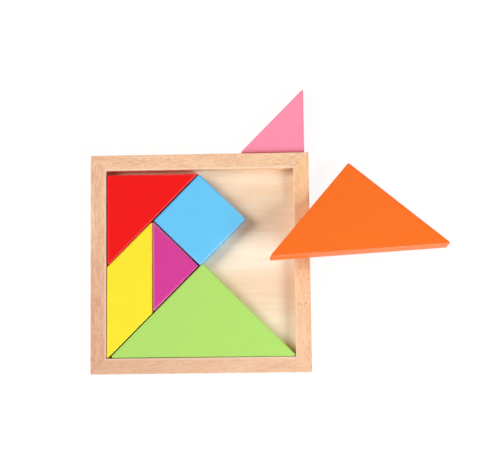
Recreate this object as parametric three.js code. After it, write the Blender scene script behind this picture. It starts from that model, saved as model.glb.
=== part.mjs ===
// Tangram puzzle: a mitred beech tray with a plywood floor, and seven painted wooden tans.
// Five tans lie in the tray. The pink one lies behind it and the orange one leans on its right rail.
// Millimetres, +Z up. The origin is the middle of the tray's underside.
// +X points to the right rail and +Y to the back rail.

import * as THREE from 'three';

// Tray
const TRAY_SIDE = 150.4;
const RAIL_WIDTH = 10.7;
const RAIL_HEIGHT = 12;
const RAIL_ARRIS = 0.6;
const MITRE_GLUE_LINE = 0.15;
const FLOOR_THICKNESS = 3;
const REBATE_WIDTH = 4.5;
const FLOOR_EDGE_GAP = 0.3;

// Tans
const PLAY_IN_TRAY = 0.9;
const TAN_THICKNESS = 8.5;
const TAN_ARRIS = 0.3;

// Where the pink tan lies behind the back rail
const PINK_TO_BACK_RAIL = 0.85;
const PINK_INSIDE_RIGHT_FACE = 2.9;

// Where the orange tan leans on the right rail: one leg lies on the table, turned from +X towards the front,
// and its square corner stands this far right of the tray and this far in front of the tray's back face
const ORANGE_LEG_TURN = THREE.MathUtils.degToRad(39.4);
const ORANGE_CORNER_RIGHT_OF_TRAY = 26;
const ORANGE_CORNER_IN_FROM_BACK = 8.86;
const ORANGE_TO_RAIL = 0.15;

// Steps in half of each rounded corner, and in each rounded arris of a tan
const CORNER_STEPS = 3;
const ARRIS_STEPS = 3;

// Finishes
const BEECH = { color: 0xf3c59f, roughness: 0.55, metalness: 0 };
const PLYWOOD = { color: 0xf9d9bb, roughness: 0.6, metalness: 0 };
const PAINT = { roughness: 0.35, metalness: 0 };

const INNER_SIDE = TRAY_SIDE - 2 * RAIL_WIDTH;
const SQUARE_SIDE = INNER_SIDE - PLAY_IN_TRAY;

// Directions in which a tan is pushed towards a rail or towards a neighbour
const LEFT = new THREE.Vector2(-1, 0);
const RIGHT = new THREE.Vector2(1, 0);
const FRONT = new THREE.Vector2(0, -1);
const FRONT_RIGHT = new THREE.Vector2(1, -1).normalize();
const FRONT_LEFT = new THREE.Vector2(-1, -1).normalize();
const BACK_LEFT = new THREE.Vector2(-1, 1).normalize();

// The seven tans. home holds the corners of each one's share of a square with side 1, counter-clockwise.
// sanded is what sanding took off each edge, corner is the radius of a flat face's corners, and turn is in degrees.
// A tan in the tray has two seats: the way it is pushed, what stops it there, and the gap that is left.
const TANS = [
  {
    name: 'tan_green_large_triangle',
    colour: 0xb4e473,
    home: [[0, 0], [1, 0], [0.5, 0.5]],
    sanded: 0.05,
    corner: 0.7,
    turn: -0.1,
    seats: [[FRONT, 'rail', 0.1], [RIGHT, 'rail', 0.28]],
  },
  {
    name: 'tan_yellow_parallelogram',
    colour: 0xfae739,
    home: [[0, 0], [0.25, 0.25], [0.25, 0.75], [0, 0.5]],
    sanded: 0.45,
    corner: 0.3,
    turn: -0.2,
    seats: [[LEFT, 'rail', 0.3], [FRONT_RIGHT, 'tan_green_large_triangle', 0.73]],
  },
  {
    name: 'tan_magenta_small_triangle',
    colour: 0xdb409e,
    home: [[0.25, 0.25], [0.5, 0.5], [0.25, 0.75]],
    sanded: 0.34,
    corner: 0.1,
    turn: 0.1,
    seats: [[LEFT, 'tan_yellow_parallelogram', 0.25], [FRONT_RIGHT, 'tan_green_large_triangle', 0.74]],
  },
  {
    name: 'tan_red_medium_triangle',
    colour: 0xf02223,
    home: [[0, 0.5], [0.5, 1], [0, 1]],
    sanded: 0.35,
    corner: 0.05,
    turn: 0.08,
    seats: [[LEFT, 'rail', 0.66], [FRONT_RIGHT, 'tan_yellow_parallelogram', 0.4]],
  },
  {
    name: 'tan_blue_square',
    colour: 0x6ccbff,
    home: [[0.5, 0.5], [0.75, 0.75], [0.5, 1], [0.25, 0.75]],
    sanded: 0.32,
    corner: 0.05,
    turn: 0.3,
    seats: [[FRONT_LEFT, 'tan_magenta_small_triangle', 0.86], [BACK_LEFT, 'tan_red_medium_triangle', 0.62]],
  },
  {
    name: 'tan_pink_small_triangle',
    colour: 0xfe92af,
    home: [[0.75, 0.75], [1, 1], [0.5, 1]],
    sanded: 0.25,
    corner: 0.3,
    turn: 45,
  },
  {
    name: 'tan_orange_large_triangle',
    colour: 0xff7328,
    home: [[0.5, 0.5], [1, 0], [1, 1]],
    sanded: 0,
    corner: 1,
    turn: -45,
  },
];

// A named piece with its own finish.
function piece(name, geometry, finish) {
  const mesh = new THREE.Mesh(geometry, new THREE.MeshStandardMaterial(finish));
  mesh.name = name;
  return mesh;
}

// Section of a rail: x runs in from its outer face and y up from the table.
// The lower inner edge is rebated for the floor panel.
function railSection() {
  const a = RAIL_ARRIS;
  const wall = RAIL_WIDTH - REBATE_WIDTH;
  const section = new THREE.Shape();
  section.moveTo(a, 0);
  section.lineTo(wall, 0);
  section.lineTo(wall, FLOOR_THICKNESS);
  section.lineTo(RAIL_WIDTH, FLOOR_THICKNESS);
  section.lineTo(RAIL_WIDTH, RAIL_HEIGHT - a);
  section.absarc(RAIL_WIDTH - a, RAIL_HEIGHT - a, a, 0, Math.PI / 2);
  section.lineTo(a, RAIL_HEIGHT);
  section.absarc(a, RAIL_HEIGHT - a, a, Math.PI / 2, Math.PI);
  section.lineTo(0, a);
  section.absarc(a, a, a, Math.PI, 1.5 * Math.PI);
  return section;
}

// The front rail: its section along X, with each end drawn in to the mitre plane of its corner.
function railGeometry() {
  const settings = { depth: 1, bevelEnabled: false, curveSegments: CORNER_STEPS };
  const geometry = new THREE.ExtrudeGeometry(railSection(), settings);
  const points = geometry.attributes.position;
  const drawnBack = MITRE_GLUE_LINE * Math.SQRT1_2;
  for (let i = 0; i < points.count; i += 1) {
    const inward = points.getX(i);
    const height = points.getY(i);
    const end = 2 * points.getZ(i) - 1;
    const halfLength = TRAY_SIDE / 2 - inward - drawnBack;
    points.setXYZ(i, end * halfLength, inward - TRAY_SIDE / 2, height);
  }
  geometry.computeVertexNormals();
  return geometry;
}

// Four mitred rails and the floor panel that is let into their rebates from below.
function makeTray() {
  const tray = new THREE.Group();
  ['rail_front', 'rail_right', 'rail_back', 'rail_left'].forEach((name, quarter) => {
    const rail = piece(name, railGeometry(), BEECH);
    rail.rotation.z = quarter * Math.PI / 2;
    tray.add(rail);
  });
  const floorSide = INNER_SIDE + 2 * (REBATE_WIDTH - FLOOR_EDGE_GAP);
  const panel = new THREE.BoxGeometry(floorSide, floorSide, FLOOR_THICKNESS);
  const floor = piece('floor_panel', panel, PLYWOOD);
  floor.position.z = FLOOR_THICKNESS / 2;
  tray.add(floor);
  return tray;
}

// Sharp corners of a tan about the middle of its share of the square, with its edges sanded back.
function sandedCorners(tan) {
  const ideal = tan.home.map(([x, y]) => new THREE.Vector2(x, y).multiplyScalar(SQUARE_SIDE));
  const middle = new THREE.Vector2();
  ideal.forEach((corner) => middle.addScaledVector(corner, 1 / ideal.length));
  return ideal.map((corner, i) => {
    const before = ideal[(i + ideal.length - 1) % ideal.length];
    const after = ideal[(i + 1) % ideal.length];
    const toBefore = before.clone().sub(corner).normalize();
    const toAfter = after.clone().sub(corner).normalize();
    const sine = Math.abs(toBefore.cross(toAfter));
    const inward = toBefore.add(toAfter).multiplyScalar(tan.sanded / sine);
    return corner.clone().add(inward).sub(middle);
  });
}

// Outline with each sharp corner rounded by an arc of a radius. The corners run counter-clockwise.
function roundedOutline(corners, radius) {
  const outline = new THREE.Shape();
  corners.forEach((corner, i) => {
    const before = corners[(i + corners.length - 1) % corners.length];
    const after = corners[(i + 1) % corners.length];
    const toBefore = before.clone().sub(corner).normalize();
    const toAfter = after.clone().sub(corner).normalize();
    const halfAngle = Math.acos(toBefore.dot(toAfter)) / 2;
    const bisector = toBefore.clone().add(toAfter).normalize();
    const centre = corner.clone().addScaledVector(bisector, radius / Math.sin(halfAngle));
    const start = new THREE.Vector2(-toBefore.y, toBefore.x).angle();
    const sweep = Math.PI - 2 * halfAngle;
    outline.absarc(centre.x, centre.y, radius, start, start + sweep);
  });
  outline.closePath();
  return outline;
}

// A flat tan with rounded corners and arrises, standing on z = 0.
function tanGeometry(outline) {
  const geometry = new THREE.ExtrudeGeometry(outline, {
    depth: TAN_THICKNESS - 2 * TAN_ARRIS,
    curveSegments: CORNER_STEPS,
    bevelSize: TAN_ARRIS,
    bevelThickness: TAN_ARRIS,
    bevelOffset: -TAN_ARRIS,
    bevelSegments: ARRIS_STEPS,
  });
  return geometry.translate(0, 0, TAN_ARRIS);
}

// Furthest reach of points along a direction.
function reach(points, direction) {
  return Math.max(...points.map((point) => point.dot(direction)));
}

// Middle of a tan that is pushed two ways, each until only its gap to what stops it is left.
function seatedMiddle(tan, points, placed) {
  const [first, second] = tan.seats.map(([direction, stop, gap]) => {
    const back = direction.clone().negate();
    const limit = stop === 'rail' ? INNER_SIDE / 2 : -reach(placed.get(stop), back);
    return { direction, distance: limit - gap - reach(points, direction) };
  });
  const area = first.direction.cross(second.direction);
  const x = first.distance * second.direction.y - second.distance * first.direction.y;
  const y = second.distance * first.direction.x - first.distance * second.direction.x;
  return new THREE.Vector2(x / area, y / area);
}

// The pink tan lies on the table against the back rail, its square corner to the front right.
function layPink(mesh, points) {
  const rightmost = TRAY_SIDE / 2 - PINK_INSIDE_RIGHT_FACE;
  mesh.position.x = rightmost - reach(points, RIGHT);
  mesh.position.y = TRAY_SIDE / 2 + PINK_TO_BACK_RAIL + reach(points, FRONT);
  return mesh;
}

// The orange tan stands on one leg's lower arris and is tilted until its other leg meets the right rail.
function leanOrange(mesh, squareCorner) {
  const planToRail = ORANGE_CORNER_RIGHT_OF_TRAY / Math.sin(ORANGE_LEG_TURN);
  const lean = Math.atan2(RAIL_HEIGHT + ORANGE_TO_RAIL, planToRail);
  const arrisLift = TAN_ARRIS * (Math.sin(lean) + Math.cos(lean) - 1);
  mesh.position.set(-squareCorner.x, -squareCorner.y, 0);
  const tilted = new THREE.Group();
  tilted.rotation.x = -lean;
  tilted.add(mesh);
  const stand = new THREE.Group();
  stand.rotation.z = -ORANGE_LEG_TURN;
  stand.position.x = TRAY_SIDE / 2 + ORANGE_CORNER_RIGHT_OF_TRAY;
  stand.position.y = TRAY_SIDE / 2 - ORANGE_CORNER_IN_FROM_BACK;
  stand.position.z = -arrisLift;
  stand.add(tilted);
  return stand;
}

// All seven tans, each placed after those that stop it.
function makeTans() {
  const tans = new THREE.Group();
  const placed = new Map();
  const centre = new THREE.Vector2();
  for (const tan of TANS) {
    const turn = THREE.MathUtils.degToRad(tan.turn);
    const corners = sandedCorners(tan);
    const outline = roundedOutline(corners, tan.corner + TAN_ARRIS);
    const points = outline.getPoints(CORNER_STEPS).map((point) => point.rotateAround(centre, turn));
    const mesh = piece(tan.name, tanGeometry(outline), { ...PAINT, color: tan.colour });
    mesh.rotation.z = turn;
    if (tan.seats) {
      const middle = seatedMiddle(tan, points, placed);
      mesh.position.set(middle.x, middle.y, FLOOR_THICKNESS);
      placed.set(tan.name, points.map((point) => point.add(middle)));
      tans.add(mesh);
    } else if (tan.name === 'tan_pink_small_triangle') {
      tans.add(layPink(mesh, points));
    } else {
      tans.add(leanOrange(mesh, corners[0].rotateAround(centre, turn)));
    }
  }
  return tans;
}

const puzzle = new THREE.Group();
puzzle.add(makeTray(), makeTans());

export default puzzle;
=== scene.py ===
"""Looks of a tangram puzzle: a lacquered beech tray with a plywood floor, and painted wooden tans.

Metres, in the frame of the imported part: +Z up, the origin under the middle of the tray.
"""

import logging
import math
from dataclasses import dataclass, field
from enum import Enum
from typing import Callable, ClassVar, Optional, Sequence, Union

import bmesh
import bpy
from mathutils import Euler, Matrix, Vector


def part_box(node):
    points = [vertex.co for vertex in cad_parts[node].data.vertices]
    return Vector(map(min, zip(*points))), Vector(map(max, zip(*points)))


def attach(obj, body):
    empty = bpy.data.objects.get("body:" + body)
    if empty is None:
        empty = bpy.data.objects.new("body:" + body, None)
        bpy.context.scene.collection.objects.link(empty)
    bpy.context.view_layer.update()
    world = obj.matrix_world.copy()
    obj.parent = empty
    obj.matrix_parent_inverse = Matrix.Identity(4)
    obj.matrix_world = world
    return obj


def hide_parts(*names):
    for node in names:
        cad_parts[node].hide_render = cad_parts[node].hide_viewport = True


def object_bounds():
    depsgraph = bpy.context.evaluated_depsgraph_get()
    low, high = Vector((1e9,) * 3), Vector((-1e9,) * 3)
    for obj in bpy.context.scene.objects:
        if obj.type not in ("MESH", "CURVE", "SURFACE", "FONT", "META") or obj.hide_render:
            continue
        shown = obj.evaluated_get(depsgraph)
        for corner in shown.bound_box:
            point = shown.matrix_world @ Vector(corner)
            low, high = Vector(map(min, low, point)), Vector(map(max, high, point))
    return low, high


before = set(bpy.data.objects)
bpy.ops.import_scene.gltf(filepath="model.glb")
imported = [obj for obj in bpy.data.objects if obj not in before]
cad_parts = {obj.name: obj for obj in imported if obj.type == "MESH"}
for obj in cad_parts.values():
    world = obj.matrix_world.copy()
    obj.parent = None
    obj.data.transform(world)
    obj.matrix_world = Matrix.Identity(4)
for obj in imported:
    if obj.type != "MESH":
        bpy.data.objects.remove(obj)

CAD_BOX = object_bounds()
LOG = logging.getLogger("tangram")

MM = 0.001
# Places that differ by less than this are the same place.
TINY = 1e-6

ACROSS = Vector((0, 1, 0))
UPWARD = Vector((0, 0, 1))
LEFTWARD = Vector((-1, 0, 0))
FRONTWARD = Vector((0, -1, 0))
FRONT_RIGHT = Vector((1, -1, 0))

# How many sides a tan has.
TRIANGLE = 3
QUADRANGLE = 4

# The shares that a mesh stores for its finish: near an arris, on the side, and along the arris that gets a
# painted glint.
RIM = "rim"
SIDE = "side"
PAINTED_GLINT = "painted_glint"

# How many finer layers a noise has.
COARSE = 1.0
PLAIN = 2.0
FINE = 3.0

Colour = tuple[float, float, float, float]
WHITE: Colour = (1.0, 1.0, 1.0, 1.0)
BLACK: Colour = (0.0, 0.0, 0.0, 1.0)

# The curve of display colours: a straight line up to its toe, and a power above it.
CURVE_TOE = 0.04045
CURVE_SLOPE = 12.92
CURVE_OFFSET = 0.055
CURVE_POWER = 2.4
FULL_BYTE = 0xFF


def linear(code: int) -> Colour:
    """Turns a display colour, as 0xRRGGBB, into the linear colour that shaders work in.

    Args:
        code: the display colour.

    Returns:
        The linear colour with full opacity.
    """
    parts = [(code >> shift & FULL_BYTE) / FULL_BYTE for shift in (16, 8, 0)]
    red, green, blue = (
        part / CURVE_SLOPE
        if part <= CURVE_TOE
        else ((part + CURVE_OFFSET) / (1 + CURVE_OFFSET)) ** CURVE_POWER
        for part in parts
    )
    return red, green, blue, 1.0


def blended(first: Colour, second: Colour, share: float) -> Colour:
    """The colour that lies a share of the way from the first colour to the second."""
    red, green, blue, alpha = (a + (b - a) * share for a, b in zip(first, second))
    return red, green, blue, alpha


class Value:
    """A number, colour or vector that varies over a surface: the output socket of a shader node."""

    def __init__(self, shader: "Shader", socket: Optional[bpy.types.NodeSocket]) -> None:
        """Keeps the socket and the shader that it belongs to."""
        self.shader = shader
        self.socket = socket

    def math(self, operation: str, first: "Operand", second: "Operand") -> "Value":
        """The result of a new Math node with two operands."""
        return self.shader.node("ShaderNodeMath", {"operation": operation}, {0: first, 1: second})

    def __add__(self, other: "Operand") -> "Value":
        """The sum of this value and another."""
        return self.math("ADD", self, other)

    def __radd__(self, other: "Operand") -> "Value":
        """The sum of another value and this one."""
        return self.math("ADD", other, self)

    def __sub__(self, other: "Operand") -> "Value":
        """This value less another."""
        return self.math("SUBTRACT", self, other)

    def __rsub__(self, other: "Operand") -> "Value":
        """Another value less this one."""
        return self.math("SUBTRACT", other, self)

    def __mul__(self, other: "Operand") -> "Value":
        """The product of this value and another."""
        return self.math("MULTIPLY", self, other)

    def __rmul__(self, other: "Operand") -> "Value":
        """The product of another value and this one."""
        return self.math("MULTIPLY", other, self)

    def largest(self, other: "Operand") -> "Value":
        """The larger of this value and another."""
        return self.math("MAXIMUM", self, other)

    def ramp(self, start: float, end: float) -> "Value":
        """Goes smoothly from 0 at start to 1 at end, which may be below start, and no further."""
        limits = {"Value": self, "From Min": start, "From Max": end}
        return self.shader.node("ShaderNodeMapRange", {"interpolation_type": "SMOOTHSTEP"}, limits)


Operand = Union[Value, float]
Input = Union[Value, float, Sequence[float]]


class Shader:
    """Builds the nodes of one material or of the world."""

    # The middle of a noise's colour.
    NOISE_MIDDLE: tuple[float, float, float] = (0.5, 0.5, 0.5)
    # A speck is full out to this share of its radius, and fades from there to its rim.
    SPECK_CORE: float = 0.4
    # The span of chances over which the specks of the cells fade out.
    SPECK_FADE: float = 0.02
    # The sockets of a Mix node that mixes colours.
    MIX_SHARE: int = 0
    MIX_FIRST: int = 6
    MIX_SECOND: int = 7
    MIX_RESULT: int = 2

    def __init__(self, owner: Union[bpy.types.Material, bpy.types.World]) -> None:
        """Empties the owner's node tree.

        Args:
            owner: the material or world that gets the nodes.
        """
        owner.use_nodes = True
        self.tree = owner.node_tree
        self.tree.nodes.clear()

    def node(
        self,
        kind: str,
        settings: Optional[dict[str, object]] = None,
        sockets: Optional[dict[Union[str, int], Input]] = None,
        output: Union[str, int] = 0,
    ) -> Value:
        """Adds a node.

        Args:
            kind: the node's type.
            settings: its properties, which are set first.
            sockets: values for its inputs, or what is linked to them.
            output: the output that is wanted.

        Returns:
            That output, or an empty value where the node has none.
        """
        made = self.tree.nodes.new(kind)
        for name, setting in (settings or {}).items():
            setattr(made, name, setting)
        for key, value in (sockets or {}).items():
            if isinstance(value, Value):
                self.tree.links.new(value.socket, made.inputs[key])
            else:
                made.inputs[key].default_value = value
        return Value(self, made.outputs[output] if len(made.outputs) else None)

    def place(self, shift: Sequence[float], angle: float, stretch: float) -> Value:
        """The place on the piece, in a frame that is turned with the grain and drawn out along it.

        Args:
            shift: the frame's origin.
            angle: the turn of the grain from +X about +Z.
            stretch: how many times longer a pattern is along the grain than across it.

        Returns:
            The place, as a vector.
        """
        here = self.node("ShaderNodeTexCoord", output="Object")
        turn = {"Vector": here, "Location": shift, "Rotation": (0, 0, angle), "Scale": (stretch, 1, 1)}
        return self.node("ShaderNodeMapping", {"vector_type": "TEXTURE"}, turn)

    def along(self, angle: float) -> Value:
        """The distance along the grain, which is turned by an angle, from the middle of the frame."""
        return self.node("ShaderNodeSeparateXYZ", {}, {"Vector": self.place((0, 0, 0), angle, 1.0)}, "X")

    def warped(self, place: Value, size: float, reach: float) -> Value:
        """The place, pushed about by smooth noise, so that straight lines in it become wavy.

        Args:
            place: the place.
            size: the length of the waves, in metres.
            reach: how far the push goes either way.

        Returns:
            The pushed place.
        """
        waves = {"Vector": place, "Scale": 1 / size, "Detail": COARSE}
        push = self.node("ShaderNodeTexNoise", {}, waves, "Color")
        less = {0: push, 1: self.NOISE_MIDDLE}
        centred = self.node("ShaderNodeVectorMath", {"operation": "SUBTRACT"}, less)
        moved = {0: centred, 1: [2 * reach] * 3, 2: place}
        return self.node("ShaderNodeVectorMath", {"operation": "MULTIPLY_ADD"}, moved)

    def noise(self, place: Value, size: float, detail: float = PLAIN) -> Value:
        """Smooth noise, about 0.5 on average, with features of a size in metres and finer layers in them."""
        return self.node("ShaderNodeTexNoise", {}, {"Vector": place, "Scale": 1 / size, "Detail": detail})

    def specks(self, place: Value, spacing: float, size: float, share: float) -> Value:
        """Scattered specks, drawn out as the place is.

        Args:
            place: where they are read.
            spacing: the width of the cells that may each hold one, in metres.
            size: the width of a speck.
            share: the share of the cells that hold one.

        Returns:
            1 in a speck and 0 elsewhere.
        """
        cells = {"Vector": place, "Scale": 1 / spacing}
        distance = self.node("ShaderNodeTexVoronoi", {}, cells, "Distance")
        colour = self.node("ShaderNodeTexVoronoi", {}, cells, "Color")
        chance = self.node("ShaderNodeSeparateColor", {}, {"Color": colour})
        radius = size / spacing / 2
        return distance.ramp(radius, radius * self.SPECK_CORE) * chance.ramp(share + self.SPECK_FADE, share)

    def mix(self, first: Input, second: Input, share: Operand) -> Value:
        """A mix of two colours, with a share of the second."""
        sockets = {self.MIX_SHARE: share, self.MIX_FIRST: first, self.MIX_SECOND: second}
        return self.node("ShaderNodeMix", {"data_type": "RGBA"}, sockets, self.MIX_RESULT)

    def share(self, name: str) -> Value:
        """A share that is stored in the mesh, such as how near an arris is."""
        return self.node("ShaderNodeAttribute", {"attribute_name": name}, {}, "Fac")

    def bump(self, height: Value, depth: float, strength: float) -> Value:
        """The normal, bent by a height from 0 to 1 that stands for a depth in metres."""
        sockets = {"Height": height, "Distance": depth, "Strength": strength}
        return self.node("ShaderNodeBump", {}, sockets, "Normal")

    def surface(self, sockets: dict[str, Input]) -> None:
        """Ends a material with a Principled shader that has these values and links."""
        shader = self.node("ShaderNodeBsdfPrincipled", {}, sockets)
        self.node("ShaderNodeOutputMaterial", {}, {"Surface": shader})


class Grain(Enum):
    """The way the grain runs in a piece, as an angle from +X about +Z."""

    ALONG_X = 0.0
    ALONG_Y = math.pi / 2
    RISING = math.pi / 4
    FALLING = -math.pi / 4


@dataclass(frozen=True)
class Beech:
    """Planed beech under a clear satin lacquer, with wavy streaks and short ray flecks.

    The wood goes from the start colour to the end colour along a rail, and the plank is where in the tree the
    rail was cut; the change along a rail is partly the plank's own tone and partly painted shade. A length is
    how many times longer than wide a pattern is.
    """

    start: Colour
    end: Colour
    grain: Grain
    plank: tuple[float, float, float]
    dark: Colour = linear(0xBD693D)
    fleck: Colour = linear(0x9C5A34)
    half_rail: float = 75 * MM
    drift: float = 5.0 * MM
    drift_length: float = 4.0
    drift_share: float = 0.35
    streak: float = 0.75 * MM
    streak_length: float = 7.0
    streak_share: float = 0.65
    streak_depth: float = 0.34
    streak_wave: float = 3 * MM
    streak_sway: float = 0.5 * MM
    pale_tone: float = 0.7
    dark_tone: float = 0.3
    fleck_spacing: float = 1.4 * MM
    fleck_width: float = 0.75 * MM
    fleck_length: float = 3.0
    fleck_share: float = 0.5
    fleck_depth: float = 0.28
    fleck_wave: float = 2 * MM
    fleck_sway: float = 0.2 * MM
    rim_wear_and_highlight: float = 0.35
    rim_painted_light: float = 0.5
    roughness: float = 0.54
    streak_polish: float = 0.14
    rim_polish: float = 0.1
    specular: float = 0.25
    streak_rise: float = 0.6
    fleck_sink: float = 0.15
    relief: float = 0.05 * MM
    relief_strength: float = 0.3

    def material(self, name: str) -> bpy.types.Material:
        """Makes the finish of one rail.

        Args:
            name: the material's name.

        Returns:
            The material.
        """
        made = bpy.data.materials.new(name)
        shader = Shader(made)
        angle = self.grain.value
        along = shader.along(angle).ramp(-self.half_rail, self.half_rail)
        drift = shader.noise(shader.place(self.plank, angle, self.drift_length), self.drift)
        straight = shader.place(self.plank, angle, self.streak_length)
        wavy = shader.warped(straight, self.streak_wave, self.streak_sway)
        streaks = shader.noise(wavy, self.streak)
        rays = shader.place(self.plank, angle, self.fleck_length)
        wavy_rays = shader.warped(rays, self.fleck_wave, self.fleck_sway)
        flecks = shader.specks(wavy_rays, self.fleck_spacing, self.fleck_width, self.fleck_share)
        tone = drift * self.drift_share + streaks * self.streak_share
        shade = tone.ramp(self.pale_tone, self.dark_tone)
        wood = shader.mix(shader.mix(self.start, self.end, along), self.dark, shade * self.streak_depth)
        flecked = shader.mix(wood, self.fleck, flecks * self.fleck_depth)
        rim = shader.share(RIM)
        height = streaks * self.streak_rise - flecks * self.fleck_sink
        shader.surface({
            # Painted highlight, with some wear: the inner top arris is mixed towards a paler colour.
            "Base Color": shader.mix(flecked, blended(self.end, WHITE, self.rim_wear_and_highlight), rim * self.rim_painted_light),
            "Roughness": self.roughness - streaks * self.streak_polish - rim * self.rim_polish,
            "Specular IOR Level": self.specular,
            "Normal": shader.bump(height, self.relief, self.relief_strength),
        })
        return made


@dataclass(frozen=True)
class Plywood:
    """Bare sanded plywood: a pale face veneer in broad soft bands, with a few pale ticks across the grain.

    A length is how many times longer than wide a pattern is.
    """

    # The Wave texture's own factor between its scale and the angle of its waves.
    WAVE_FACTOR: ClassVar[float] = 20

    pale: Colour = linear(0xFCF1DD)
    deep: Colour = linear(0xF2D2B2)
    scratch: Colour = linear(0xFFF4E6)
    band: float = 60.5 * MM
    band_start: float = 43.0 * MM
    band_length: float = 3.0
    band_bend: float = 2.0
    band_bend_scale: float = 3.0
    band_share: float = 0.3
    patch: float = 4.5 * MM
    patch_length: float = 5.0
    patch_share: float = 0.4
    streak: float = 0.9 * MM
    streak_length: float = 20.0
    streak_share: float = 0.3
    deep_tone: float = 0.15
    pale_tone: float = 0.8
    tick_spacing: float = 6 * MM
    tick_width: float = 0.8 * MM
    tick_length: float = 4.0
    tick_share: float = 0.14
    tick_depth: float = 0.6
    roughness: float = 0.72
    streak_polish: float = 0.1
    specular: float = 0.2
    relief: float = 0.04 * MM
    relief_strength: float = 0.3

    def material(self, name: str) -> bpy.types.Material:
        """Makes the finish of the floor panel.

        Args:
            name: the material's name.

        Returns:
            The material.
        """
        made = bpy.data.materials.new(name)
        shader = Shader(made)
        shift = (0.0, self.band_start, 0.0)
        along = Grain.ALONG_X.value
        waves = {
            "Vector": shader.place(shift, along, self.band_length),
            "Scale": math.tau / (self.WAVE_FACTOR * self.band),
            "Distortion": self.band_bend,
            "Detail": PLAIN,
            "Detail Scale": self.band_bend_scale,
        }
        bands = shader.node("ShaderNodeTexWave", {"bands_direction": "Y"}, waves, "Fac")
        patches = shader.noise(shader.place(shift, along, self.patch_length), self.patch)
        streaks = shader.noise(shader.place(shift, along, self.streak_length), self.streak, FINE)
        tone = bands * self.band_share + patches * self.patch_share + streaks * self.streak_share
        veneer = shader.mix(self.deep, self.pale, tone.ramp(self.deep_tone, self.pale_tone))
        crosswise = shader.place(shift, Grain.ALONG_Y.value, self.tick_length)
        ticks = shader.specks(crosswise, self.tick_spacing, self.tick_width, self.tick_share)
        shader.surface({
            "Base Color": shader.mix(veneer, self.scratch, ticks * self.tick_depth),
            "Roughness": self.roughness - streaks * self.streak_polish,
            "Specular IOR Level": self.specular,
            "Normal": shader.bump(streaks, self.relief, self.relief_strength),
        })
        return made


@dataclass(frozen=True)
class Paint:
    """Satin paint on wood: faintly mottled, worn and shiny along the arrises, with a few specks.

    The rim and side shares of painted light say how much of the deep colour is painted on as shade there, and
    the glint share how far the paint is whitened along one arris as a painted glint, with breaks in it.
    """

    colour: Colour
    gloss: float = 0.2
    rim_painted_light: float = 0.0
    side_painted_shade: float = 0.0
    glint_share: float = 0.0
    glint_breaks: float = 0.5
    mottle: float = 14 * MM
    mottle_dark: float = 0.02
    mottle_low: float = 0.3
    mottle_high: float = 0.6
    peel: float = 0.9 * MM
    peel_share: float = 0.5
    streak: float = 0.7 * MM
    streak_length: float = 12.0
    streak_share: float = 0.5
    chip: float = 1.4 * MM
    chip_low: float = 0.5
    chip_high: float = 0.7
    speck_spacing: float = 5 * MM
    speck_width: float = 0.5 * MM
    speck_share: float = 0.12
    speck_depth: float = 0.35
    worn_white: float = 0.3
    worn_depth: float = 0.06
    worn_gloss: float = 0.65
    rim_gloss: float = 0.35
    roughness: float = 0.3
    mottle_roughness: float = 0.06
    specular: float = 0.16
    coat_roughness: float = 0.2
    relief: float = 0.02 * MM
    relief_strength: float = 0.3

    @property
    def deep(self) -> Colour:
        """The deeper colour that is painted on as shade along the rims and on the sides."""
        red, green, blue, alpha = self.colour
        return red * red, green * green, blue * blue, alpha

    def material(self, name: str, grain: Grain) -> bpy.types.Material:
        """Makes the finish of one tan.

        Args:
            name: the material's name.
            grain: the way the grain runs in the wood below the paint.

        Returns:
            The material.
        """
        made = bpy.data.materials.new(name)
        shader = Shader(made)
        shift = (0.0, 0.0, 0.0)
        flat = shader.place(shift, grain.value, 1.0)
        mottle = shader.noise(flat, self.mottle, FINE)
        peel = shader.noise(flat, self.peel, COARSE)
        streaks = shader.noise(shader.place(shift, grain.value, self.streak_length), self.streak)
        chips = shader.noise(flat, self.chip, FINE).ramp(self.chip_low, self.chip_high)
        specks = shader.specks(flat, self.speck_spacing, self.speck_width, self.speck_share)
        rim = shader.share(RIM)
        side = shader.share(SIDE)
        worn = rim * chips
        darker = blended(self.colour, BLACK, self.mottle_dark)
        paler = blended(self.colour, WHITE, self.worn_white)
        coat = shader.mix(darker, self.colour, mottle.ramp(self.mottle_low, self.mottle_high))
        flecked = shader.mix(coat, paler, specks * self.speck_depth)
        edged = shader.mix(flecked, paler, worn * self.worn_depth)
        # Painted shade: the rims and sides are mixed towards the deep colour.
        shaded = shader.mix(edged, self.deep, (rim * self.rim_painted_light).largest(side * self.side_painted_shade))
        # Painted glint: the arris that faces the lamps is mixed towards white, with breaks along it.
        painted_glint = shader.share(PAINTED_GLINT) * (chips * self.glint_breaks + (1 - self.glint_breaks)) * self.glint_share
        shine = (worn * self.worn_gloss + rim * self.rim_gloss) * (1 - side)
        height = peel * self.peel_share + streaks * self.streak_share
        shader.surface({
            "Base Color": shader.mix(shaded, WHITE, painted_glint),
            "Roughness": self.roughness + mottle * self.mottle_roughness,
            "Specular IOR Level": self.specular,
            "Coat Weight": shine * self.gloss,
            "Coat Roughness": self.coat_roughness,
            "Normal": shader.bump(height, self.relief, self.relief_strength),
        })
        return made


class Part(Enum):
    """What is picked in a mesh, by the name of its select mode."""

    EDGES = "EDGE"
    FACES = "FACE"


Element = Union[bmesh.types.BMEdge, bmesh.types.BMFace]


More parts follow.
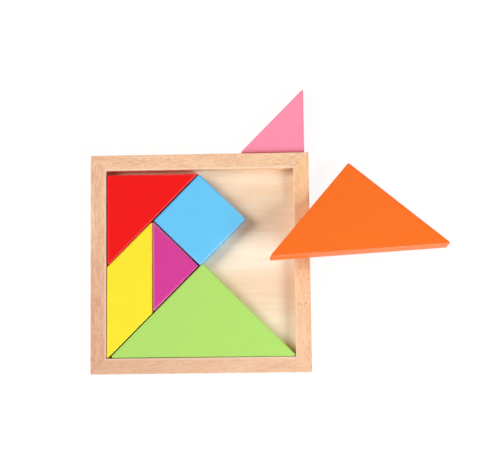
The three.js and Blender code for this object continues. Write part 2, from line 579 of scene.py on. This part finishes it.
class Piece:
    """A new mesh that is shaped with edit-mode tools, as by hand."""

    # The Bevel tool's profile for a round edge.
    ROUND: float = 0.5
    # Faces that meet at less than this angle are shaded as one surface.
    SMOOTH_ANGLE: float = math.radians(40)
    # The Weighted Normal modifier's setting that favours large faces the most.
    LARGE_FACES: int = 100

    def __init__(self, name: str) -> None:
        """Takes over the active object, with its place put into its mesh.

        Args:
            name: the piece's name.
        """
        bpy.ops.object.transform_apply(location=True, rotation=True, scale=True)
        self.object = bpy.context.object
        self.object.name = name
        self.mesh = self.object.data
        self.mesh.name = name

    @classmethod
    def block(cls, name: str, low: Vector, high: Vector) -> "Piece":
        """Starts from a cube.

        Args:
            name: the piece's name.
            low: the block's lowest corner.
            high: its highest corner.

        Returns:
            The new piece.
        """
        bpy.ops.object.select_all(action="DESELECT")
        bpy.ops.mesh.primitive_cube_add(size=1, location=(low + high) / 2, scale=high - low)
        return cls(name)

    @classmethod
    def loft(cls, name: str, rings: Sequence[Sequence[Vector]]) -> "Piece":
        """Starts from a filled circle that is shaped to the first ring, and extrudes it from ring to ring.

        Args:
            name: the piece's name.
            rings: closed outlines from the bottom to the top, each with as many points as the others.

        Returns:
            The new piece.
        """
        bpy.ops.object.select_all(action="DESELECT")
        bpy.ops.mesh.primitive_circle_add(vertices=len(rings[0]), radius=MM, fill_type="NGON")
        made = cls(name)
        for vertex, corner in zip(made.mesh.vertices, rings[0]):
            vertex.co = corner
        made.mesh.update()
        made.pick(Part.FACES, lambda face: True)
        for below, above in zip(rings, rings[1:]):
            bpy.ops.mesh.extrude_region_move(TRANSFORM_OT_translate={"value": (0, 0, 0)})
            shape = bmesh.from_edit_mesh(made.mesh)
            for vertex in [v for v in shape.verts if v.select]:
                here = min(range(len(below)), key=lambda i: (below[i] - vertex.co).length_squared)
                vertex.co = above[here]
            bmesh.update_edit_mesh(made.mesh)
        made.done()
        return made

    def pick(self, part: Part, test: Callable[[Element], bool]) -> None:
        """Selects only the edges or faces that pass a test, and stays in edit mode.

        Args:
            part: whether edges or faces are picked.
            test: says whether an edge or a face is wanted.
        """
        bpy.context.view_layer.objects.active = self.object
        bpy.ops.object.mode_set(mode="EDIT")
        bpy.ops.mesh.select_mode(type=part.value)
        bpy.ops.mesh.select_all(action="DESELECT")
        shape = bmesh.from_edit_mesh(self.mesh)
        for element in shape.edges if part is Part.EDGES else shape.faces:
            element.select_set(test(element))
        shape.select_flush_mode()
        bmesh.update_edit_mesh(self.mesh)

    def done(self) -> None:
        """Leaves edit mode."""
        bpy.ops.object.mode_set(mode="OBJECT")

    def extrude(self, test: Callable[[bmesh.types.BMFace], bool], way: Vector) -> None:
        """Extrudes the faces that pass a test.

        Args:
            test: says whether a face is wanted.
            way: how far and which way they go.
        """
        self.pick(Part.FACES, test)
        bpy.ops.mesh.extrude_region_move(TRANSFORM_OT_translate={"value": way})
        self.done()

    def bevel(self, test: Callable[[bmesh.types.BMEdge], bool], width: float, steps: int) -> None:
        """Rounds the edges that pass a test.

        Args:
            test: says whether an edge is wanted.
            width: how far the rounding reaches into the faces beside the edge.
            steps: how many faces the rounding has.
        """
        self.pick(Part.EDGES, test)
        bpy.ops.mesh.bevel(
            offset=width, segments=steps, profile=self.ROUND, affect="EDGES", clamp_overlap=False
        )
        self.done()

    def cut(self, point: Vector, normal: Vector, clear: bool = False) -> None:
        """Cuts the piece along a plane.

        Args:
            point: a point of the plane.
            normal: the plane's normal.
            clear: whether the side that the normal points to is taken off and the cut is closed.
        """
        self.pick(Part.FACES, lambda face: True)
        bpy.ops.mesh.bisect(
            plane_co=point, plane_no=normal, use_fill=clear, clear_outer=clear, threshold=TINY
        )
        self.done()

    def mark(self, name: str, share: Callable[[Vector], float]) -> None:
        """Stores a share for each point of the mesh, which the finish reads.

        Args:
            name: the name it is stored under.
            share: gives the share, from 0 to 1, for a place.
        """
        stored = self.mesh.attributes.new(name, "FLOAT", "POINT")
        for vertex, entry in zip(self.mesh.vertices, stored.data):
            entry.value = share(vertex.co)

    def smooth(self) -> None:
        """Shades the roundings smooth and keeps the flat faces flat."""
        self.pick(Part.FACES, lambda face: True)
        bpy.ops.mesh.normals_make_consistent(inside=False)
        self.done()
        bpy.ops.object.select_all(action="DESELECT")
        self.object.select_set(True)
        bpy.ops.object.shade_smooth_by_angle(angle=self.SMOOTH_ANGLE)
        weighted = self.object.modifiers.new("flat_faces", "WEIGHTED_NORMAL")
        weighted.keep_sharp = True
        weighted.weight = self.LARGE_FACES
        bpy.ops.object.modifier_apply(modifier=weighted.name)

    def quarter_turn(self, name: str, quarters: int) -> "Piece":
        """Copies the piece, with a mesh of its own, and turns the copy about the frame's Z.

        Args:
            name: the copy's name.
            quarters: how many quarter turns it makes.

        Returns:
            The copy.
        """
        bpy.ops.object.select_all(action="DESELECT")
        self.object.select_set(True)
        bpy.context.view_layer.objects.active = self.object
        bpy.ops.object.duplicate(linked=False)
        bpy.context.object.rotation_euler.z = quarters * math.pi / 2
        return Piece(name)

    def fit(self, material: bpy.types.Material, body: str, node: str, slot: str) -> None:
        """Dresses the piece and puts it in its solid's place in the frame.

        Args:
            material: its finish.
            body: the body that it rides on.
            node: the solid that it stands for.
            slot: not used.
        """
        self.mesh.materials.clear()
        self.mesh.materials.append(material)
        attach(self.object, body)
        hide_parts(node)
        LOG.info("%s: %d faces, rides on %s", self.object.name, len(self.mesh.polygons), body)


@dataclass
class Tray:
    """Four mitred beech rails round a plywood floor."""

    # A face looks a way if more than this share of its normal goes there.
    FACING: ClassVar[float] = 0.5

    half_side: float
    rail_width: float
    rail_height: float
    floor_thickness: float
    floor_half: float
    glue_line: float = 0.03 * MM
    floor_edge_gap: float = 0.3 * MM
    arris: float = 0.6 * MM
    arris_steps: int = 5
    rim_reach: float = 1.6 * MM
    floor_arris: float = 0.25 * MM
    floor_arris_steps: int = 2

    @classmethod
    def from_frame(cls) -> "Tray":
        """Reads the tray's sizes from its solids.

        Returns:
            The tray.
        """
        rail_low, rail_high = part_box("rail_front")
        _, floor_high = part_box("floor_panel")
        return cls(
            half_side=-rail_low.y,
            rail_width=rail_high.y - rail_low.y,
            rail_height=rail_high.z,
            floor_thickness=floor_high.z,
            floor_half=floor_high.x,
        )

    def front_rail(self) -> Piece:
        """Models the front rail: a slab with a lip below, rounded arrises and mitred ends.

        Returns:
            The rail.
        """
        outer = -self.half_side
        inner = outer + self.rail_width
        top = self.rail_height
        low = Vector((-self.half_side, outer, self.floor_thickness))
        rail = Piece.block("beech_rail_front", low, Vector((self.half_side, inner, top)))
        wall = -(self.floor_half + self.floor_edge_gap)
        rail.cut(Vector((0, wall, 0)), ACROSS)
        rail.extrude(
            lambda face: face.normal.z < -self.FACING and face.calc_center_median().y < wall,
            Vector((0, 0, -self.floor_thickness)),
        )
        sharp = [(outer, top), (inner, top), (outer, 0.0)]
        rail.bevel(
            lambda edge: any(self.lies_on(edge, y, z) for y, z in sharp), self.arris, self.arris_steps
        )
        # These cuts bound the faces beside an arris, so that its rim fades within its reach.
        for y in (outer + self.rim_reach, inner - self.rim_reach):
            rail.cut(Vector((0, y, 0)), ACROSS)
        for z in (top - self.rim_reach, self.rim_reach):
            rail.cut(Vector((0, 0, z)), UPWARD)
        mitre_end = self.half_side - self.glue_line / math.sqrt(2)
        for end in (-1, 1):
            rail.cut(Vector((end * mitre_end, outer, 0)), Vector((end, 1, 0)).normalized(), clear=True)
        # Only the inner top arris gets a rim share, which the finish paints as a highlight.
        rail.mark(RIM, lambda place: self.nearness(place, inner, top))
        rail.smooth()
        return rail

    @staticmethod
    def lies_on(edge: bmesh.types.BMEdge, y: float, z: float) -> bool:
        """Whether an edge runs along the front rail at a place across it and up it."""
        return all(abs(v.co.y - y) < TINY and abs(v.co.z - z) < TINY for v in edge.verts)

    def nearness(self, place: Vector, y: float, z: float) -> float:
        """How near a place is to an arris of the front rail: 1 on it, and 0 from the rim's reach on."""
        distance = math.hypot(place.y - y, place.z - z)
        return 1.0 - min(1.0, max(0.0, distance - self.arris) / (self.rim_reach - self.arris))

    def floor(self) -> Piece:
        """Models the floor panel: a sheet whose sawn edges are lightly eased.

        Returns:
            The panel.
        """
        half = self.floor_half
        high = Vector((half, half, self.floor_thickness))
        panel = Piece.block("plywood_floor", Vector((-half, -half, 0)), high)
        panel.bevel(lambda edge: True, self.floor_arris, self.floor_arris_steps)
        panel.smooth()
        return panel

    @staticmethod
    def woods() -> dict[str, Beech]:
        """Gives each rail a plank of its own.

        Returns:
            The rails' woods, in turn from the front to the left.
        """
        return {
            # Each rail is darker towards its front or left end, and the front and left rails are darker
            # overall: partly the planks' own tones and partly painted shade, as less light falls towards the
            # front-left corner.
            "front": Beech(
                linear(0xE8C1A4), linear(0xF1CCAC), Grain.ALONG_X, plank=(0.31, 0.07, 0.02), streak_depth=0.3
            ),
            "right": Beech(
                linear(0xF6CCAA), linear(0xFFD1A1), Grain.ALONG_Y, plank=(0.12, 0.41, 0.05),
                streak_depth=0.26, streak_length=6.0, fleck_depth=0.55, fleck_share=0.55,
            ),
            "back": Beech(
                linear(0xFED4B2), linear(0xFFDCB8), Grain.ALONG_X, plank=(0.57, 0.23, 0.09),
                streak_depth=0.4, streak_length=6.0, fleck_depth=0.26,
            ),
            "left": Beech(
                linear(0xE6BB9E), linear(0xFFD8B9), Grain.ALONG_Y, plank=(0.83, 0.66, 0.13),
                streak_depth=0.44, fleck_depth=0.4,
            ),
        }

    def build(self) -> None:
        """Models and dresses the four rails and the floor panel."""
        model = self.front_rail()
        for quarters, (side, beech) in enumerate(self.woods().items()):
            rail = model.quarter_turn(f"beech_rail_{side}", quarters) if quarters else model
            rail.fit(beech.material(f"beech_{side}"), "tray", f"rail_{side}", "beech")
        self.floor().fit(Plywood().material("plywood"), "tray", "floor_panel", "plywood")


@dataclass(frozen=True)
class Prism:
    """A tan's place: the corners of its sharp lower outline, the way up, and the radius of its corners."""

    # Points within this depth of the highest one lie on the flat face.
    FLAT: ClassVar[float] = 0.01 * MM
    # The decimals that two normals share if they are alike.
    NORMAL_DIGITS: ClassVar[int] = 2
    # The decimals, in metres, that two points share if they are the same.
    POINT_DIGITS: ClassVar[int] = 7

    corners: tuple[Vector, ...]
    up: Vector
    thickness: float
    radius: float

    @classmethod
    def of_node(cls, node: str, sides: int, arris: float) -> "Prism":
        """Finds the prism that a tan's solid was rounded from.

        Args:
            node: the solid.
            sides: how many sides it has.
            arris: how far its flat faces stop short of its sides.

        Returns:
            The prism.
        """
        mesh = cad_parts[node].data
        areas: dict[tuple[float, ...], Vector] = {}
        for polygon in mesh.polygons:
            if polygon.normal.z > 0:
                key = tuple(round(part, cls.NORMAL_DIGITS) for part in polygon.normal)
                areas[key] = areas.get(key, Vector()) + polygon.normal * polygon.area
        up = max(areas.values(), key=lambda area: area.length).normalized()
        heights = [vertex.co.dot(up) for vertex in mesh.vertices]
        top = max(heights)
        across = up.orthogonal().normalized()
        along = up.cross(across)
        flat = {
            (round(v.co.dot(across), cls.POINT_DIGITS), round(v.co.dot(along), cls.POINT_DIGITS))
            for v, height in zip(mesh.vertices, heights)
            if top - height < cls.FLAT
        }
        points = [Vector(point) for point in flat]
        middle = sum(points, Vector((0, 0))) / len(points)
        points.sort(key=lambda point: math.atan2(point.y - middle.y, point.x - middle.x))
        steps = list(zip(points, points[1:] + points[:1]))
        longest = sorted(steps, key=lambda step: (step[1] - step[0]).length)[-sides:]
        lines = [step for step in steps if step in longest]
        corners = []
        for before, after in zip(lines[-1:] + lines[:-1], lines):
            corner = cls.crossing(before, after, arris)
            corners.append(across * corner.x + along * corner.y + up * min(heights))
        radius = arris + cls.rounding(lines[-1], lines[0], points)
        return cls(tuple(corners), up, top - min(heights), radius)

    @classmethod
    def rounding(
        cls, before: Sequence[Vector], after: Sequence[Vector], points: Sequence[Vector]
    ) -> float:
        """The radius of a rounded corner of an outline.

        Args:
            before: two points of the side before the corner.
            after: two points of the side after it.
            points: all the points of the outline.

        Returns:
            The radius.
        """
        sharp = cls.crossing(before, after, 0.0)
        nearest = min((point - sharp).length for point in points)
        half = (before[0] - before[1]).angle(after[1] - after[0]) / 2
        return nearest / (1 / math.sin(half) - 1)

    @staticmethod
    def crossing(before: Sequence[Vector], after: Sequence[Vector], outward: float) -> Vector:
        """Where two sides of an outline meet once both are moved outward.

        Args:
            before: two points of the first side, counter-clockwise.
            after: two points of the next side.
            outward: how far both move.

        Returns:
            The corner.
        """
        normals = []
        reaches = []
        for start, end in (before, after):
            way = (end - start).normalized()
            normal = Vector((way.y, -way.x))
            normals.append(normal)
            reaches.append(normal.dot(start) + outward)
        first, second = normals
        spread = first.x * second.y - first.y * second.x
        x = (reaches[0] * second.y - reaches[1] * first.y) / spread
        y = (first.x * reaches[1] - second.x * reaches[0]) / spread
        return Vector((x, y))


@dataclass
class Tan:
    """One painted wooden shape, with rounded corners and softly sanded edges.

    The glint way is where the side looks whose arris gets a painted glint, if there is one.
    """

    name: str
    sides: int
    paint: Paint
    slot: str
    grain: Grain
    glint_way: Optional[Vector] = None
    cad_arris: float = 0.3 * MM
    least_radius: float = 0.05 * MM
    corner_steps: int = 8
    ease_width: float = 0.4 * MM
    ease_steps: int = 3
    slant_width: float = 0.5 * MM
    slant: float = math.radians(20)
    arris_width: float = 0.4 * MM
    arris_steps: int = 5
    prism: Prism = field(init=False)

    def __post_init__(self) -> None:
        """Finds where the tan is."""
        self.prism = Prism.of_node(self.node, self.sides, self.cad_arris)

    @property
    def node(self) -> str:
        """The name of the tan's solid."""
        return f"tan_{self.name}"

    @property
    def edge_width(self) -> float:
        """How far the eased edge reaches in from the side."""
        return self.ease_width + self.slant_width + self.arris_width

    @property
    def slant_top(self) -> float:
        """How far below the flat face the slanted border starts."""
        return self.ease_width * math.tan(self.slant / 2)

    @property
    def slant_foot(self) -> float:
        """How far below the flat face the slanted border ends."""
        return self.slant_top + self.slant_width * math.tan(self.slant)

    @property
    def arris_radius(self) -> float:
        """The radius at which the arris turns from the slanted border to the upright side."""
        return self.arris_width / (1 - math.sin(self.slant))

    @property
    def edge_depth(self) -> float:
        """How far below the flat face the upright side starts."""
        return self.slant_foot + self.arris_radius * math.cos(self.slant)

    def edge_profile(self) -> list[tuple[float, float]]:
        """The eased edge from the flat face over a slanted border to the upright side.

        Returns:
            Points, each as how far in from the side and how far below the flat face it is.
        """
        points = []
        radius = self.ease_width / math.sin(self.slant)
        for step in range(self.ease_steps + 1):
            angle = self.slant * step / self.ease_steps
            points.append((self.edge_width - radius * math.sin(angle), radius * (1 - math.cos(angle))))
        for step in range(self.arris_steps + 1):
            angle = self.slant + (math.pi / 2 - self.slant) * step / self.arris_steps
            drop = self.arris_radius * (math.cos(self.slant) - math.cos(angle))
            points.append((self.arris_radius * (1 - math.sin(angle)), self.slant_foot + drop))
        return points

    def outline(self, inset: float) -> list[Vector]:
        """The tan's outline at its underside, drawn in by an even border.

        Args:
            inset: the border's width.

        Returns:
            Points along the outline, with each corner as an arc.
        """
        corners = self.prism.corners
        up = self.prism.up
        radius = max(self.prism.radius - inset, self.least_radius)
        points = []
        for i, corner in enumerate(corners):
            to_before = (corners[i - 1] - corner).normalized()
            to_after = (corners[(i + 1) % len(corners)] - corner).normalized()
            half = to_before.angle(to_after) / 2
            centre = corner + (to_before + to_after).normalized() * ((inset + radius) / math.sin(half))
            outward = up.cross(to_before)
            for step in range(self.corner_steps + 1):
                turn = (math.pi - 2 * half) * step / self.corner_steps
                points.append(centre + Matrix.Rotation(turn, 3, up) @ outward * radius)
        return points

    def shape(self) -> Piece:
        """Models the tan from its lower flat face to its upper one.

        Returns:
            The tan.
        """
        up = self.prism.up
        thickness = self.prism.thickness
        lower = self.edge_profile()
        upper = [(inset, thickness - drop) for inset, drop in lower[::-1]]
        rings = [[point + up * height for point in self.outline(inset)] for inset, height in lower + upper]
        tan = Piece.loft(self.name, rings)
        tan.mark(RIM, self.nearness)
        tan.mark(SIDE, self.sideness)
        tan.mark(PAINTED_GLINT, self.glint_at)
        tan.smooth()
        return tan

    def depth(self, place: Vector) -> float:
        """How far below the nearer flat face a point of the mesh is."""
        height = (place - self.prism.corners[0]).dot(self.prism.up)
        return max(0.0, min(height, self.prism.thickness - height))

    def nearness(self, place: Vector) -> float:
        """How near a point of the mesh is to an arris: 0 on the flat face, 1 from the slanted border on."""
        return min(1.0, self.depth(place) / self.slant_top)

    def sideness(self, place: Vector) -> float:
        """How far round the arris a point of the mesh is: 0 as far as the slanted border, 1 on the side."""
        return max(0.0, self.depth(place) - self.slant_foot) / (self.edge_depth - self.slant_foot)

    def glint_at(self, place: Vector) -> float:
        """How much of the painted glint falls at a point of the mesh.

        Args:
            place: the point.

        Returns:
            1 along the arris of the side that gets the painted glint, and 0 elsewhere.
        """
        if self.glint_way is None:
            return 0.0
        corners = self.prism.corners
        sides = [
            (start, (end - start).normalized().cross(self.prism.up))
            for start, end in zip(corners, corners[1:] + corners[:1])
        ]
        start, outward = max(sides, key=lambda side: side[1].dot(self.glint_way))
        if (start - place).dot(outward) > self.edge_width:
            return 0.0
        depth = self.depth(place)
        above = depth / self.slant_top
        below = (self.edge_depth - depth) / (self.edge_depth - self.slant_foot)
        return max(0.0, min(above, below, 1.0))

    def build(self) -> None:
        """Models and dresses the tan."""
        self.shape().fit(self.paint.material(self.slot, self.grain), self.name, self.node, self.slot)


@dataclass
class TanSet:
    """The seven tans."""

    # A glint share paints a white highlight along one arris of a tan, and a rim or side share of painted
    # light paints shade on its rims or sides.
    green: Paint = Paint(linear(0xB3E373))
    yellow: Paint = Paint(linear(0xFDEB39))
    magenta: Paint = Paint(linear(0xD6419C), gloss=0.4, glint_share=0.16, glint_breaks=0.3)
    red: Paint = Paint(linear(0xF21A1A), gloss=0.5, glint_share=0.035, glint_breaks=0.5)
    blue: Paint = Paint(
        linear(0x6CCCFF), gloss=0.9, rim_painted_light=0.4, side_painted_shade=0.45, glint_share=0.38, glint_breaks=0.7
    )
    pink: Paint = Paint(linear(0xFF96B6), gloss=0.4, side_painted_shade=0.8)
    orange: Paint = Paint(linear(0xFF7727), gloss=0.6, glint_share=0.1, glint_breaks=0.4)

    def tans(self) -> list[Tan]:
        """Lists the tans, with the way the wood's grain runs in each.

        Returns:
            The tans, in the order in which they are built.
        """
        return [
            # The last vector, where there is one, is the way that the side faces whose arris gets the painted
            # glint.
            Tan("green_large_triangle", TRIANGLE, self.green, "green_paint", Grain.ALONG_X),
            Tan("yellow_parallelogram", QUADRANGLE, self.yellow, "yellow_paint", Grain.ALONG_Y),
            Tan("magenta_small_triangle", TRIANGLE, self.magenta, "magenta_paint", Grain.ALONG_Y, LEFTWARD),
            Tan("red_medium_triangle", TRIANGLE, self.red, "red_paint", Grain.RISING, FRONT_RIGHT),
            Tan("blue_square", QUADRANGLE, self.blue, "blue_paint", Grain.FALLING, FRONT_RIGHT),
            Tan("pink_small_triangle", TRIANGLE, self.pink, "pink_paint", Grain.RISING),
            Tan("orange_large_triangle", TRIANGLE, self.orange, "orange_paint", Grain.ALONG_X, FRONTWARD),
        ]

    def build(self) -> None:
        """Models and dresses every tan."""
        for tan in self.tans():
            tan.build()


@dataclass(frozen=True)
class Lamp:
    """A soft box that points at the middle of the puzzle. One that isn't mirrored makes no highlights."""

    name: str
    azimuth: float
    elevation: float
    distance: float
    width: float
    height: float
    level: float
    colour: tuple[float, float, float] = (1.0, 1.0, 1.0)
    mirrored: bool = True

    def add(self, target: Vector) -> None:
        """Adds the lamp, at the power that lights a flat surface at the target by the lamp's level.

        Args:
            target: what it points at. At a level of 1, colours show there as they are written.
        """
        data = bpy.data.lights.new(self.name, "AREA")
        data.shape = "RECTANGLE"
        data.size = self.width
        data.size_y = self.height
        data.color = self.colour
        data.energy = self.level * (math.pi * self.distance) ** 2 / math.sin(self.elevation)
        lamp = bpy.data.objects.new(self.name, data)
        flat = math.cos(self.elevation)
        rise = math.sin(self.elevation)
        way = Vector((math.cos(self.azimuth) * flat, math.sin(self.azimuth) * flat, rise))
        lamp.location = target + way * self.distance
        lamp.rotation_euler = way.to_track_quat("Z", "Y").to_euler()
        lamp.visible_glossy = self.mirrored
        bpy.context.scene.collection.objects.link(lamp)


@dataclass
class Studio:
    """A white table in soft light, and the camera that looks down on it."""

    camera_place: Vector = Vector((65.91, -75.68, 895.21)) * MM
    camera_turn: tuple[float, float, float] = (5.991, 2.225, -0.656)
    camera_nearest: float = 10 * MM
    focal_pixels: float = 1300.0
    frame_pixels: float = 495.0
    sensor: float = 36.0
    table_side: float = 6.0
    table_drop: float = 0.05 * MM
    table_white: Colour = (0.9, 0.9, 0.9, 1.0)
    table_glow: float = 0.91
    table_shade: float = 0.12
    ambient: float = 0.14
    ambient_tint: Colour = (1.0, 0.57, 0.22, 1.0)
    lamps: tuple[Lamp, ...] = (
        Lamp(
            "left_box", azimuth=math.radians(164), elevation=math.radians(40), distance=2.4,
            width=1.2, height=1.11, level=0.49, colour=(0.94, 0.98, 1.0), mirrored=False,
        ),
        Lamp(
            "right_box", azimuth=math.radians(-38), elevation=math.radians(35.5), distance=0.85,
            width=0.3, height=0.4, level=0.41, colour=(0.97, 1.0, 1.0),
        ),
        Lamp(
            "front_box", azimuth=math.radians(-90), elevation=math.radians(14), distance=1.0,
            width=0.5, height=0.3, level=0.05,
        ),
        Lamp(
            "back_box", azimuth=math.radians(60), elevation=math.radians(35), distance=0.6,
            width=0.5, height=0.3, level=0.06, mirrored=False,
        ),
    )

    def build(self) -> None:
        """Sets up the view, the camera, the table and the light."""
        bpy.context.scene.view_settings.view_transform = "Standard"
        self.add_camera()
        self.add_table()
        self.light_world()
        low, high = CAD_BOX
        for lamp in self.lamps:
            lamp.add((low + high) / 2)

    def add_camera(self) -> None:
        """Adds the camera at the picture's viewing angle."""
        data = bpy.data.cameras.new("camera")
        data.sensor_width = self.sensor
        data.lens = self.focal_pixels / self.frame_pixels * self.sensor
        data.clip_start = self.camera_nearest
        camera = bpy.data.objects.new("camera", data)
        camera.location = self.camera_place
        camera.rotation_euler = Euler([math.radians(angle) for angle in self.camera_turn], "XYZ")
        bpy.context.scene.collection.objects.link(camera)
        bpy.context.scene.camera = camera

    @staticmethod
    def seen(shader: Shader) -> Value:
        """1 for what the camera sees, directly, mirrored or through glass, and 0 for light that bounces.

        Args:
            shader: the shader that gets the nodes.

        Returns:
            The value, which depends on the ray and not on the place.
        """
        camera, glossy, through = (
            shader.node("ShaderNodeLightPath", {}, {}, f"Is {ray} Ray")
            for ray in ("Camera", "Glossy", "Transmission")
        )
        return camera.largest(glossy).largest(through)

    def add_table(self) -> None:
        """Adds the white table top, which keeps a faint shadow."""
        bpy.ops.object.select_all(action="DESELECT")
        bpy.ops.mesh.primitive_plane_add(size=self.table_side, location=(0, 0, -self.table_drop))
        table = bpy.context.object
        table.name = "table_top"
        made = bpy.data.materials.new("table_white")
        shader = Shader(made)
        seen = self.seen(shader)
        shade = shader.mix(self.table_white, blended(BLACK, WHITE, self.table_shade), seen)
        plain = shader.node("ShaderNodeBsdfDiffuse", {}, {"Color": shade})
        glow = shader.node("ShaderNodeEmission", {}, {"Color": WHITE, "Strength": seen * self.table_glow})
        both = shader.node("ShaderNodeAddShader", {}, {0: plain, 1: glow})
        shader.node("ShaderNodeOutputMaterial", {}, {"Surface": both})
        table.data.materials.append(made)

    def light_world(self) -> None:
        """Gives the world a soft level of light, and a plain white to the camera."""
        world = bpy.data.worlds.new("studio")
        bpy.context.scene.world = world
        shader = Shader(world)
        seen = self.seen(shader)
        tint = shader.mix(self.ambient_tint, WHITE, seen)
        strength = seen * (1.0 - self.ambient) + self.ambient
        sky = shader.node("ShaderNodeBackground", {}, {"Color": tint, "Strength": strength})
        shader.node("ShaderNodeOutputWorld", {}, {"Surface": sky})


def main() -> None:
    """Builds the studio, the tray and the tans, in that order."""
    logging.basicConfig(level=logging.INFO, format="%(message)s")
    Studio().build()
    Tray.from_frame().build()
    TanSet().build()


if __name__ == "__main__":
    main()
